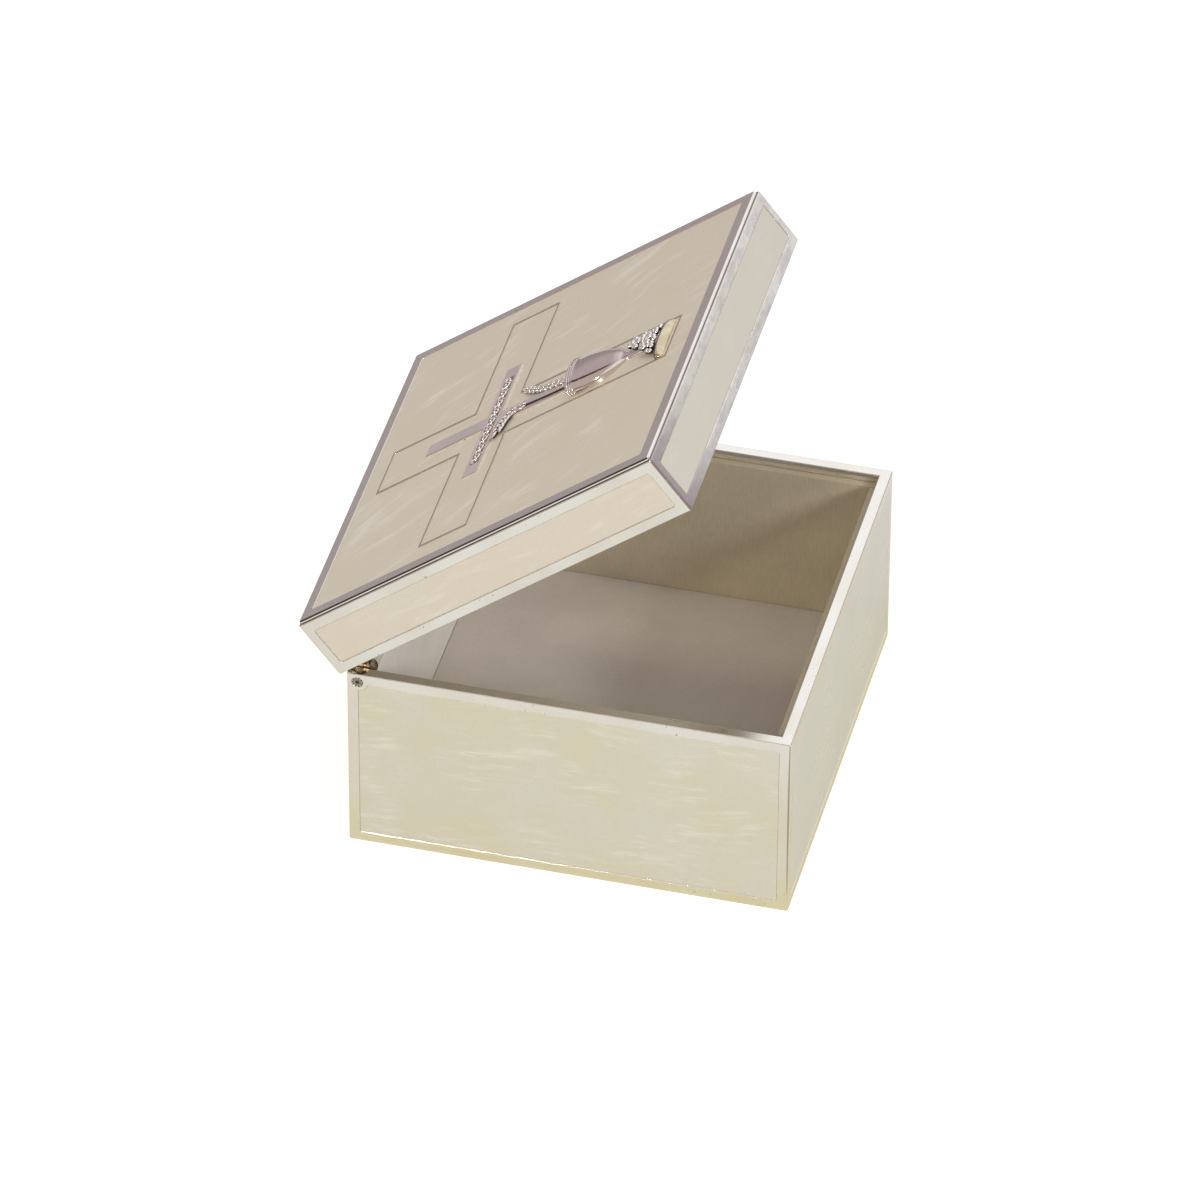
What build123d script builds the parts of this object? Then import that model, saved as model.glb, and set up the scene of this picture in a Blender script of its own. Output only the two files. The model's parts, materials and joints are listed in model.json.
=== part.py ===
from math import cos, radians, sin
import os

from build123d import *

os.makedirs("parts", exist_ok=True)

# ---------------------------------------------------------------- driving sizes, millimetres

# Box
width = 89.0                # left to right, along the hinge
depth = 89.0                # front to back
base_height = 42.4          # table to the base's rim
lid_height = 13.2           # lid's rim to the ledge under its top plate
wall = 2.4
floor_thickness = 2.0
lid_web = 1.5               # top of the lid shell, under the plate
corner_r = 0.55             # upright corners
edge_r = 0.25               # rims and foot

# Enamelled side panels
border = 2.3                # metal frame left round each panel
pocket_depth = 0.7
pocket_corner_r = 0.4
enamel_sink = 0.08          # enamel face below the metal
enamel_edge_r = 0.15

# Top plate and its enamel
plate_inset = 0.45          # ledge of lid left all round the plate
plate_thickness = 0.7
plate_web = 0.3             # under the enamel
plate_border = 2.65
plate_edge_chamfer = 0.22
top_enamel_thickness = 0.3
line_width = 0.6            # raised outline of the large cross
outline_stem_width = 13.2   # between line centres
outline_arm_width = 11.8
outline_end_inset = 7.7     # line centre to the lid's front and back edges
outline_side_inset = 8.0    # line centre to the lid's left and right edges
outline_arm_back = 28.9     # rear line of the arms, from the lid's back edge

# Small cross
emblem_thickness = 0.45
emblem_width = 3.75
emblem_arm_length = 35.6
emblem_arm_back = 35.5      # centre of the arms, from the lid's back edge
emblem_top_reach = 16.6     # centre of the arms to the head's end
emblem_chamfer = 0.15
bead_r = 0.42
bead_count = 27
bead_span = 27.5

# Chalice, as (distance from the lid's back edge, half width, side height, dome height)
bowl_sections = [
    (58.8, 5.5, 0.9, 2.3),
    (61.2, 5.5, 0.9, 2.2),
    (64.5, 4.7, 0.7, 1.9),
    (67.2, 3.3, 0.6, 1.4),
    (69.4, 1.7, 0.5, 0.7),
]
neck_sections = [
    (69.4, 1.7, 0.5, 0.7),
    (71.6, 1.8, 0.5, 0.8),
    (75.0, 2.7, 0.5, 0.9),
    (78.6, 4.3, 0.5, 1.1),
]
foot_sections = [(78.6, 6.25, 0.5, 1.1), (80.9, 6.25, 0.4, 0.3)]
lip_back = 57.2             # mouth of the bowl
lip_ring_length = 0.4
lip_ring_count = 3
lip_half_width = 5.8
lip_side = 0.9
lip_dome = 2.6
lip_groove = 0.12           # between one ring of the lip and the next
lip_wall = 0.6
mouth_depth = 1.2

# Grapes and wheat
grape_r = 0.62
grape_rows = [              # (distance from the lid's back edge, height in the middle, first x, last x)
    (71.6, 1.20, 1.5, 2.6),
    (72.6, 1.35, 0.6, 2.8),
    (73.6, 1.45, -0.4, 2.9),
    (74.6, 1.50, -1.4, 3.0),
    (75.6, 1.55, -2.3, 3.2),
    (76.6, 1.60, -3.1, 3.5),
    (77.5, 1.60, -3.7, 4.0),
]
grape_pitch = 1.1
grape_fall = 0.055          # drop per square millimetre away from the middle
ears = {                    # (x, distance from the lid's back edge) along each ear's spine
    "left": [(-1.1, 57.2), (-1.1, 51.0), (-0.7, 46.0), (-0.4, 42.6), (-1.9, 40.2), (-5.5, 38.7)],
    "right": [(1.6, 57.2), (2.0, 53.0), (2.7, 48.0), (4.0, 45.2), (5.3, 43.1)],
}
ear_head_start = {"left": 0.47, "right": 0.16}  # share of the spine that is bare stem
stem_r = 0.38
stem_height = 0.55          # centre of the stem above the enamel
grain_length = 1.7
grain_r = 0.46
grain_pairs = 8
grain_splay = 24.0          # degrees from the spine

# Linings and pads
lining = 1.5
back_lining = 2.8
lining_drop = 2.0           # rim to the linings' edge
lining_gap = 0.3
floor_pad = 3.7
felt_thickness = 1.0
felt_proud = 0.2
felt_inset = 4.0
felt_corner_r = 2.0

# Hinge
pivot_inset = 2.15          # back face to the pin's axis
pivot_drop = 1.95           # base rim to the pin's axis
lid_gap = 1.2               # between the rims at the pivot, with the lid level
open_angle = 38.0           # lid as stored
pin_r = 1.25                # over the splines
spline_depth = 0.25
spline_count = 10
pin_interference = 0.07     # splines bite this far into the wall
pin_recess = 0.1            # end of the pin below the wall's face
pin_dimple_r = 0.35
pin_dimple_depth = 0.4
journal_r = 0.95
journal_clearance = 0.05
boss_r = 2.0                # metal left round the pin where the panels are cut
lug_thickness = 3.0
lug_side_gap = 0.15         # to the end wall
lug_behind = 1.8            # reach behind the pin's axis
lug_ahead = 2.65            # reach ahead of the tongue's seat on the wall
lug_below = 2.3
lug_tongue = 4.8            # above the lid's rim
lug_rear_r = 1.75
lug_front_r = 2.25
notch_gap = 0.3
notch_depth = 5.5
notch_border = 1.55         # metal frame left round a notch

# ---------------------------------------------------------------- planes

half_width = width / 2
half_depth = depth / 2
hinge_y = half_depth - pivot_inset
hinge_z = base_height - pivot_drop
shell_bottom = felt_proud
floor_top = shell_bottom + felt_thickness - felt_proud + floor_thickness
lid_rim_rise = pivot_drop + lid_gap     # pin's axis to the lid's rim plane
tilt = radians(open_angle)

hinge_plane = Plane(origin=(0, hinge_y, hinge_z), x_dir=(1, 0, 0), z_dir=(0, sin(tilt), cos(tilt)))


def lid_level(height):
    """Plane parallel to the lid's rim, centred on the lid, at a height above its rim."""
    centre = hinge_plane.from_local_coords((0, -hinge_y, lid_rim_rise + height))
    return Plane(origin=centre, x_dir=hinge_plane.x_dir, z_dir=hinge_plane.z_dir)


def across_lid(back_distance, height):
    """Upright plane across the lid, at a distance from its back edge; its y runs up."""
    level = lid_level(height)
    origin = level.from_local_coords((0, half_depth - back_distance, 0))
    return Plane(origin=origin, x_dir=level.x_dir, z_dir=level.y_dir * -1)


def side_plane(level, side):
    """Plane on one outer face of a box: x along the wall, y up, z outward."""
    outward = {"front": (0, -1), "back": (0, 1), "left": (-1, 0), "right": (1, 0)}[side]
    reach = half_depth if side in ("front", "back") else half_width
    origin = level.from_local_coords((outward[0] * reach, outward[1] * reach, 0))
    normal = level.x_dir * outward[0] + level.y_dir * outward[1]
    return Plane(origin=origin, x_dir=level.z_dir.cross(normal), z_dir=normal)


base_level = Plane.XY
lid_normal = Axis(lid_level(0).origin, lid_level(0).z_dir)
field_bottom = lid_height + plate_web
field_top = field_bottom + top_enamel_thickness
sides = ("front", "back", "left", "right")
ends = {"left": -1, "right": 1}

inner_width = width - 2 * wall
inner_depth = depth - 2 * wall
lug_outer_x = inner_width / 2 - lug_side_gap
lug_inner_x = lug_outer_x - lug_thickness
notch_inner_x = lug_inner_x - notch_gap
notch_width = inner_width / 2 - notch_inner_x
notch_centre_x = inner_width / 2 - notch_width / 2
tongue_seat = wall - pivot_inset        # pin's axis to the lid's back wall, inside
lug_front = tongue_seat + lug_ahead


# ---------------------------------------------------------------- outlines shared by pockets and enamel

def panel_rectangle(side, low, high):
    """Panel between two heights of a wall, drawn in the open sketch of its outer face."""
    length = width if side in ("front", "back") else depth
    with Locations((0, (low + high) / 2)):
        RectangleRounded(length - 2 * border, high - low - 2 * border, pocket_corner_r)


def base_panel(side):
    """A base panel, clear of the hinge pins' bosses and of the notches in the back wall."""
    with BuildSketch(side_plane(base_level, side)) as outline:
        panel_rectangle(side, shell_bottom, base_height)
        if side in ends:
            with Locations((ends[side] * hinge_y, hinge_z)):
                Circle(boss_r, mode=Mode.SUBTRACT)
        if side == "back":
            with Locations((-notch_centre_x, base_height), (notch_centre_x, base_height)):
                framed_width = notch_width + 2 * notch_border
                Rectangle(framed_width, 2 * (notch_depth + notch_border), mode=Mode.SUBTRACT)
    return outline.sketch


def lid_panel(side):
    with BuildSketch(side_plane(lid_level(0), side)) as outline:
        panel_rectangle(side, 0, lid_height)
    return outline.sketch


def large_cross(grow, mode=Mode.ADD):
    """The large cross, its edge moved out from the middle of its raised line, in the open sketch."""
    Rectangle(outline_stem_width + 2 * grow, depth - 2 * (outline_end_inset - grow), mode=mode)
    with Locations((0, half_depth - outline_arm_back - outline_arm_width / 2)):
        Rectangle(width - 2 * (outline_side_inset - grow), outline_arm_width + 2 * grow, mode=mode)


with BuildSketch(lid_level(field_bottom)) as field_round_cross:
    border_reach = plate_inset + plate_border
    RectangleRounded(width - 2 * border_reach, depth - 2 * border_reach, pocket_corner_r)
    large_cross(line_width / 2, mode=Mode.SUBTRACT)

with BuildSketch(lid_level(field_bottom)) as field_in_cross:
    large_cross(-line_width / 2)

base_panels = {side: base_panel(side) for side in sides}
lid_panels = {side: lid_panel(side) for side in sides}
top_fields = {"field": field_round_cross.sketch, "cross": field_in_cross.sketch}

# ---------------------------------------------------------------- base shell

with BuildPart() as base_shell:
    with BuildSketch(Plane.XY.offset(shell_bottom)):
        Rectangle(width, depth)
    extrude(amount=base_height - shell_bottom)
    fillet(base_shell.edges().filter_by(Axis.Z), radius=corner_r)
    fillet(base_shell.edges().group_by(Axis.Z)[0], radius=edge_r)
    with BuildSketch(Plane.XY.offset(floor_top)):
        Rectangle(inner_width, inner_depth)
    extrude(amount=base_height - floor_top, mode=Mode.SUBTRACT)
    fillet(base_shell.edges().group_by(Axis.Z)[-1], radius=edge_r)
    with BuildSketch(Plane.XY):
        RectangleRounded(width - 2 * felt_inset, depth - 2 * felt_inset, felt_corner_r)
    extrude(amount=felt_thickness, mode=Mode.SUBTRACT)
    for panel_outline in base_panels.values():
        extrude(panel_outline, amount=-pocket_depth, mode=Mode.SUBTRACT)
    with BuildSketch(side_plane(base_level, "back")):
        with Locations((-notch_centre_x, base_height), (notch_centre_x, base_height)):
            Rectangle(notch_width, 2 * notch_depth)
    extrude(amount=-wall, mode=Mode.SUBTRACT)
    for side, sign in ends.items():
        with BuildSketch(side_plane(base_level, side)):
            with Locations((sign * hinge_y, hinge_z)):
                Circle(pin_r - pin_interference)
        extrude(amount=-wall, mode=Mode.SUBTRACT)

base_shell.part.label = "base_shell"
export_step(base_shell.part, "parts/base_shell.step")

with BuildPart() as base_felt_pad:
    with BuildSketch(Plane.XY):
        RectangleRounded(width - 2 * felt_inset, depth - 2 * felt_inset, felt_corner_r)
    extrude(amount=felt_thickness)

base_felt_pad.part.label = "base_felt_pad"
export_step(base_felt_pad.part, "parts/base_felt_pad.step")

# ---------------------------------------------------------------- lid shell and its top plate

with BuildPart() as lid_shell:
    with BuildSketch(lid_level(0)):
        Rectangle(width, depth)
    extrude(amount=lid_height)
    fillet(lid_shell.edges().filter_by(lid_normal), radius=corner_r)
    fillet(lid_shell.edges().group_by(lid_normal)[-1], radius=edge_r)
    with BuildSketch(lid_level(0)):
        Rectangle(inner_width, inner_depth)
    extrude(amount=lid_height - lid_web, mode=Mode.SUBTRACT)
    fillet(lid_shell.edges().group_by(lid_normal)[0], radius=edge_r)
    for panel_outline in lid_panels.values():
        extrude(panel_outline, amount=-pocket_depth, mode=Mode.SUBTRACT)

lid_shell.part.label = "lid_shell"
export_step(lid_shell.part, "parts/lid_shell.step")

with BuildPart() as lid_top_plate:
    with BuildSketch(lid_level(lid_height)):
        Rectangle(width - 2 * plate_inset, depth - 2 * plate_inset)
    extrude(amount=plate_thickness)
    fillet(lid_top_plate.edges().filter_by(lid_normal), radius=corner_r)
    chamfer(lid_top_plate.edges().group_by(lid_normal)[-1], length=plate_edge_chamfer)
    for field_outline in top_fields.values():
        extrude(field_outline, amount=plate_thickness - plate_web, mode=Mode.SUBTRACT)

lid_top_plate.part.label = "lid_top_plate"
export_step(lid_top_plate.part, "parts/lid_top_plate.step")

# ---------------------------------------------------------------- enamel

for group, level, outlines in (("base", base_level, base_panels), ("lid", lid_level(0), lid_panels)):
    for side, panel_outline in outlines.items():
        with BuildPart() as side_enamel:
            extrude(panel_outline, amount=-pocket_depth)
            extrude(panel_outline, amount=-enamel_sink, mode=Mode.SUBTRACT)
            outward = Axis((0, 0, 0), side_plane(level, side).z_dir)
            fillet(side_enamel.faces().sort_by(outward)[-1].edges(), radius=enamel_edge_r)
        side_enamel.part.label = f"{group}_enamel_{side}"
        export_step(side_enamel.part, f"parts/{group}_enamel_{side}.step")

for field_name, field_outline in top_fields.items():
    with BuildPart() as top_enamel:
        extrude(field_outline, amount=top_enamel_thickness)
    top_enamel.part.label = f"lid_enamel_{field_name}"
    export_step(top_enamel.part, f"parts/lid_enamel_{field_name}.step")

# ---------------------------------------------------------------- small cross

emblem_arm_y = half_depth - emblem_arm_back
emblem_top_y = emblem_arm_y + emblem_top_reach
emblem_foot_y = half_depth - lip_back

with BuildPart(lid_level(field_top)) as cross_emblem:
    with BuildSketch(lid_level(field_top)):
        with Locations((0, (emblem_top_y + emblem_foot_y) / 2)):
            Rectangle(emblem_width, emblem_top_y - emblem_foot_y)
        with Locations((0, emblem_arm_y)):
            Rectangle(emblem_arm_length, emblem_width)
    extrude(amount=emblem_thickness)
    chamfer(cross_emblem.edges().group_by(lid_normal)[-1], length=emblem_chamfer)
    with Locations((0, emblem_arm_y, emblem_thickness)):
        with GridLocations(bead_span / (bead_count - 1), 0, bead_count, 1):
            Sphere(bead_r)

cross_emblem.part.label = "cross_emblem"
export_step(cross_emblem.part, "parts/cross_emblem.step")

# ---------------------------------------------------------------- chalice


def relief_section(back_distance, half_span, side_height, dome_height, lift=0.0):
    """Slice across a relief: short upright sides under a half ellipse, flat at the back."""
    with BuildSketch(across_lid(back_distance, field_top)) as section:
        with BuildLine():
            dome = EllipticalCenterArc((0, side_height), half_span, dome_height, arc_size=180)
            Polyline(dome @ 1, (-half_span, lift), (half_span, lift), dome @ 0)
        make_face()
    return section.sketch


def relief_sections(rows):
    return [relief_section(*row) for row in rows]


lip_length = bowl_sections[0][0] - lip_back
lip_pitch = lip_length / lip_ring_count
lip_core = relief_section(lip_back, lip_half_width - lip_groove, lip_side, lip_dome - lip_groove)
lip_rings = [
    relief_section(lip_back + ring * lip_pitch, lip_half_width, lip_side, lip_dome)
    for ring in range(lip_ring_count)
]
mouth = relief_section(lip_back, lip_half_width - lip_wall, lip_side, lip_dome - lip_wall, lift=lip_wall)
bowl, neck, foot = [relief_sections(rows) for rows in (bowl_sections, neck_sections, foot_sections)]

with BuildPart() as chalice:
    loft(bowl)
    loft(neck)
    loft(foot)
    extrude(lip_core, amount=lip_length)
    for ring_outline in lip_rings:
        extrude(ring_outline, amount=lip_ring_length)
    extrude(mouth, amount=mouth_depth, mode=Mode.SUBTRACT)

chalice.part.label = "chalice"
export_step(chalice.part, "parts/chalice.step")

with BuildPart() as grape_cluster:
    with Locations(lid_level(field_top)):
        for back_distance, middle_height, first_x, last_x in grape_rows:
            for grape in range(round((last_x - first_x) / grape_pitch) + 1):
                grape_x = first_x + grape * grape_pitch
                height = middle_height - grape_fall * grape_x ** 2
                with Locations((grape_x, half_depth - back_distance, height)):
                    Sphere(grape_r)
    add(chalice.part, mode=Mode.SUBTRACT)

grape_cluster.part.label = "grape_cluster"
export_step(grape_cluster.part, "parts/grape_cluster.step")

# ---------------------------------------------------------------- ears of wheat

for side, spine_points in ears.items():
    stem_level = lid_level(field_top + stem_height)
    with BuildPart() as wheat_ear:
        with BuildLine(stem_level) as spine:
            Spline(*[(x, half_depth - back_distance) for x, back_distance in spine_points])
        spine_edge = spine.edges()[0]
        with BuildSketch(Plane(origin=spine_edge @ 0, x_dir=stem_level.z_dir, z_dir=spine_edge % 0)):
            Circle(stem_r)
        sweep(path=spine_edge)
        for pair in range(grain_pairs):
            share = ear_head_start[side] + (1 - ear_head_start[side]) * pair / grain_pairs
            for lean in (-grain_splay, grain_splay):
                along = (spine_edge % share).rotate(Axis((0, 0, 0), stem_level.z_dir), lean)
                centre = spine_edge @ share + along * (grain_length / 2)
                grain_plane = Plane(origin=centre, x_dir=along, z_dir=stem_level.z_dir)
                with BuildSketch(grain_plane):
                    with BuildLine():
                        rim = EllipticalCenterArc((0, 0), grain_length / 2, grain_r, arc_size=180)
                        Line(rim @ 1, rim @ 0)
                    make_face()
                revolve(axis=Axis(grain_plane.origin, grain_plane.x_dir))
        add(cross_emblem.part, mode=Mode.SUBTRACT)
        add(chalice.part, mode=Mode.SUBTRACT)
    wheat_ear.part.label = f"wheat_ear_{side}"
    export_step(wheat_ear.part, f"parts/wheat_ear_{side}.step")

# ---------------------------------------------------------------- linings

board_reach_x = inner_width / 2 - lining - lining_gap   # half span between the left and right boards
back_face_y = inner_depth / 2 - back_lining
base_lining_height = base_height - lining_drop - floor_top
front_face_y = -inner_depth / 2 + lining

with BuildPart() as base_lining_floor:
    with BuildSketch(Plane.XY.offset(floor_top)):
        with Locations((0, (back_face_y + front_face_y) / 2)):
            Rectangle(2 * board_reach_x, back_face_y - front_face_y - 2 * lining_gap)
    extrude(amount=floor_pad)

base_lining_floor.part.label = "base_lining_floor"
export_step(base_lining_floor.part, "parts/base_lining_floor.step")

with BuildPart() as base_lining_back:
    with BuildSketch(Plane.XY.offset(floor_top)):
        with Locations((0, inner_depth / 2 - back_lining / 2)):
            Rectangle(inner_width, back_lining)
    extrude(amount=base_lining_height)
    with BuildSketch(side_plane(base_level, "back")):
        with Locations((-notch_centre_x, base_height), (notch_centre_x, base_height)):
            Rectangle(notch_width, 2 * notch_depth)
    extrude(amount=-wall - back_lining, mode=Mode.SUBTRACT)

base_lining_back.part.label = "base_lining_back"
export_step(base_lining_back.part, "parts/base_lining_back.step")

with BuildPart() as base_lining_front:
    with BuildSketch(Plane.XY.offset(floor_top)):
        with Locations((0, front_face_y - lining / 2)):
            Rectangle(2 * board_reach_x, lining)
    extrude(amount=base_lining_height)

base_lining_front.part.label = "base_lining_front"
export_step(base_lining_front.part, "parts/base_lining_front.step")

side_board_rear_y = back_face_y - lining_gap
for side, sign in ends.items():
    with BuildPart() as base_lining_end:
        with BuildSketch(Plane.XY.offset(floor_top)):
            with Locations((sign * (inner_width - lining) / 2, (side_board_rear_y - inner_depth / 2) / 2)):
                Rectangle(lining, side_board_rear_y + inner_depth / 2)
        extrude(amount=base_lining_height)
    base_lining_end.part.label = f"base_lining_{side}"
    export_step(base_lining_end.part, f"parts/base_lining_{side}.step")

lid_ceiling = lid_height - lid_web
lid_board_height = lid_ceiling - lining_drop
board_reach_y = inner_depth / 2 - lining - lining_gap   # half span between the front and back boards
tongue_front_y = hinge_y - lug_front

with BuildPart() as lid_lining_top:
    with BuildSketch(lid_level(lid_ceiling - lining)):
        Rectangle(2 * board_reach_x, 2 * board_reach_y)
    extrude(amount=lining)

lid_lining_top.part.label = "lid_lining_top"
export_step(lid_lining_top.part, "parts/lid_lining_top.step")

for side, sign, board_width in (("front", -1, 2 * board_reach_x), ("back", 1, 2 * notch_inner_x)):
    with BuildPart() as lid_lining_board:
        with BuildSketch(lid_level(lining_drop)):
            with Locations((0, sign * (inner_depth - lining) / 2)):
                Rectangle(board_width, lining)
        extrude(amount=lid_board_height)
    lid_lining_board.part.label = f"lid_lining_{side}"
    export_step(lid_lining_board.part, f"parts/lid_lining_{side}.step")

lid_board_rear_y = tongue_front_y - lining_gap
for side, sign in ends.items():
    with BuildPart() as lid_lining_end:
        with BuildSketch(lid_level(lining_drop)):
            with Locations((sign * (inner_width - lining) / 2, (lid_board_rear_y - inner_depth / 2) / 2)):
                Rectangle(lining, lid_board_rear_y + inner_depth / 2)
        extrude(amount=lid_board_height)
    lid_lining_end.part.label = f"lid_lining_{side}"
    export_step(lid_lining_end.part, f"parts/lid_lining_{side}.step")

# ---------------------------------------------------------------- hinge

lug_reach_x = {"left": -lug_inner_x, "right": lug_outer_x}  # face of each lug furthest to the right
tongue_top = lid_rim_rise + lug_tongue

for side, sign in ends.items():
    lug_face = Plane(
        origin=hinge_plane.from_local_coords((lug_reach_x[side], 0, 0)),
        x_dir=hinge_plane.y_dir * -1,
        z_dir=hinge_plane.x_dir * -1,
    )
    with BuildPart() as hinge_lug:
        with BuildSketch(lug_face) as profile:
            with BuildLine():
                Polyline(
                    (-lug_behind, -lug_below),
                    (lug_front, -lug_below),
                    (lug_front, tongue_top),
                    (tongue_seat, tongue_top),
                    (tongue_seat, lid_rim_rise),
                    (-lug_behind, lid_rim_rise),
                    close=True,
                )
            make_face()
            fillet(profile.vertices().group_by(Axis.Y)[0].sort_by(Axis.X)[0], radius=lug_rear_r)
            fillet(profile.vertices().group_by(Axis.Y)[0].sort_by(Axis.X)[-1], radius=lug_front_r)
            Circle(journal_r + journal_clearance, mode=Mode.SUBTRACT)
        extrude(amount=lug_thickness)
    hinge_lug.part.label = f"hinge_lug_{side}"
    export_step(hinge_lug.part, f"parts/hinge_lug_{side}.step")

    pin_spot = (sign * hinge_y, hinge_z)
    with BuildPart() as hinge_pin:
        with BuildSketch(side_plane(base_level, side).offset(-pin_recess)):
            with Locations(pin_spot):
                Circle(pin_r - spline_depth)
                with PolarLocations(pin_r - spline_depth, spline_count):
                    Circle(spline_depth)
        extrude(amount=pin_recess - wall)
        with BuildSketch(side_plane(base_level, side).offset(-wall)):
            with Locations(pin_spot):
                Circle(journal_r)
        extrude(amount=-lug_side_gap - lug_thickness)
        with BuildSketch(side_plane(base_level, side).offset(-pin_recess)):
            with Locations(pin_spot):
                Circle(pin_dimple_r)
        extrude(amount=-pin_dimple_depth, mode=Mode.SUBTRACT)
    hinge_pin.part.label = f"hinge_pin_{side}"
    export_step(hinge_pin.part, f"parts/hinge_pin_{side}.step")
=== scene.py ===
import json
import math

import bmesh
import bpy
from mathutils import Matrix, Vector


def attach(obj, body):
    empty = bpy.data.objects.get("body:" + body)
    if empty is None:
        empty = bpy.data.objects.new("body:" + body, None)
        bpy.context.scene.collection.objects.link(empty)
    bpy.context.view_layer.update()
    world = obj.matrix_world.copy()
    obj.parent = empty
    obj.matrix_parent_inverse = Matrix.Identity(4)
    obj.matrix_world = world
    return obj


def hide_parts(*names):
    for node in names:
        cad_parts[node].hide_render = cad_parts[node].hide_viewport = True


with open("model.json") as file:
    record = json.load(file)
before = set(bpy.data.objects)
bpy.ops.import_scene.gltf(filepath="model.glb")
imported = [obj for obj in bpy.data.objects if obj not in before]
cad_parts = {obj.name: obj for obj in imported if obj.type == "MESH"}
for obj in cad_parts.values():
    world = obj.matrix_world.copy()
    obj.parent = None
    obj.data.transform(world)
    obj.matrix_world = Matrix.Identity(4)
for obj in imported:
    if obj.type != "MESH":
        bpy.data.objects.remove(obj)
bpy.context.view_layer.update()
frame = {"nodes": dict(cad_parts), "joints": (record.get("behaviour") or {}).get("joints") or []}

mm = 0.001

# ------------------------------------------------------------ sizes

box_reach = 44.5 * mm           # middle of the box to its front, back and sides
base_rim = 42.4 * mm            # top of the base's walls

# The lid, turned back on its hinge
_, hinge_y, hinge_z = frame["joints"][0]["pos_m"]
lid_turn = math.radians(-38)
rim_above_hinge = 3.15 * mm
enamel_above_rim = 13.8 * mm
lid_back_edge = box_reach

# The lid's top, in heights above its enamel
lid_ledge = -0.6 * mm           # ledge of the lid round the top plate
ledge_wide = 0.45 * mm
plate_reach = box_reach - ledge_wide
plate_border = 2.65 * mm        # metal left round the plate's enamel
plate_chamfer = 0.22 * mm

# The relief, in heights above the top enamel and distances from the lid's back edge
sink = 0.05 * mm                # depth that a piece is let into what carries it
bar_thick = 0.45 * mm           # small cross
panel_sink = 0.08 * mm          # panel let into the face of the cross's arms
foot_slope = 79.0 * mm          # where the chalice's foot starts to slope down to the enamel

# A lid piece is modelled with the lid lying flat: z = 0 is the lid's rim, y = 0 its middle.
lid_seat = (
    Matrix.Translation((0, hinge_y, hinge_z))
    @ Matrix.Rotation(lid_turn, 4, "X")
    @ Matrix.Translation((0, -hinge_y, rim_above_hinge))
)
# The relief is modelled with the top enamel lying flat at z = 0.
relief_seat = lid_seat @ Matrix.Translation((0, 0, enamel_above_rim))

# ------------------------------------------------------------ the bench

weld_reach = 0.0005 * mm


def put_down():
    """Leaves edit mode and lets go of everything."""
    if bpy.context.object and bpy.context.object.mode != "OBJECT":
        bpy.ops.object.mode_set(mode="OBJECT")
    bpy.ops.object.select_all(action="DESELECT")


def take_up(piece):
    """Selects one piece alone and makes it the active one."""
    put_down()
    piece.select_set(True)
    bpy.context.view_layer.objects.active = piece


def open_up(piece, kind):
    """Edit mode on one piece, with nothing selected."""
    take_up(piece)
    bpy.ops.object.mode_set(mode="EDIT")
    bpy.ops.mesh.select_mode(type=kind)
    bpy.ops.mesh.select_all(action="DESELECT")


def choose(piece, kind, test):
    """Selects the corners, edges or faces that pass a test."""
    bpy.ops.mesh.select_mode(type=kind)
    bpy.ops.mesh.select_all(action="DESELECT")
    mesh = bmesh.from_edit_mesh(piece.data)
    for part in {"VERT": mesh.verts, "EDGE": mesh.edges, "FACE": mesh.faces}[kind]:
        if test(part):
            part.select_set(True)
    mesh.select_flush_mode()
    bmesh.update_edit_mesh(piece.data)


def middle_of(part):
    """The middle of an edge's or a face's corners."""
    return sum((corner.co for corner in part.verts), Vector()) / len(part.verts)


def name_piece(name):
    """Names the active piece and its mesh."""
    piece = bpy.context.object
    piece.name = name
    piece.data.name = name
    return piece


def settle(piece):
    """Puts the piece's place into its mesh, so that its object sits at the origin."""
    take_up(piece)
    bpy.ops.object.transform_apply(location=True, rotation=True, scale=True)


def seat(piece, matrix):
    """Moves a settled piece from the flat bench to its place on the box."""
    piece.matrix_world = matrix
    settle(piece)


def face_outwards(piece):
    """Closes hairline gaps and turns every face outwards."""
    open_up(piece, "FACE")
    bpy.ops.mesh.select_all(action="SELECT")
    bpy.ops.mesh.remove_doubles(threshold=weld_reach)
    bpy.ops.mesh.normals_make_consistent(inside=False)
    put_down()


def smooth(piece, angle):
    take_up(piece)
    bpy.ops.object.shade_smooth_by_angle(angle=math.radians(angle))


def mark_raised(piece, low, high):
    """Records how high each corner stands, 0 at low and 1 at high, for the painted shade under raised grains
    to read.
    """
    marks = piece.data.attributes.new("raised", "FLOAT", "POINT")
    for corner, mark in zip(piece.data.vertices, marks.data):
        mark.value = (corner.co.z - low) / (high - low)


def copy_of(piece, matrix):
    """A copy with a mesh of its own, set down at a place."""
    twin = piece.copy()
    twin.data = piece.data.copy()
    bpy.context.scene.collection.objects.link(twin)
    seat(twin, matrix)
    return twin


def join(name, parts):
    """Makes one piece of several, with the first one's place."""
    put_down()
    for part in parts:
        part.select_set(True)
    bpy.context.view_layer.objects.active = parts[0]
    bpy.ops.object.join()
    return name_piece(name)


def finish_piece(piece, body, material, stands_for):
    """Gives a piece its finish, the body that it rides on and the node that it stands for."""
    piece.data.materials.clear()
    piece.data.materials.append(material)
    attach(piece, body)
    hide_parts(stands_for)


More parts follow.
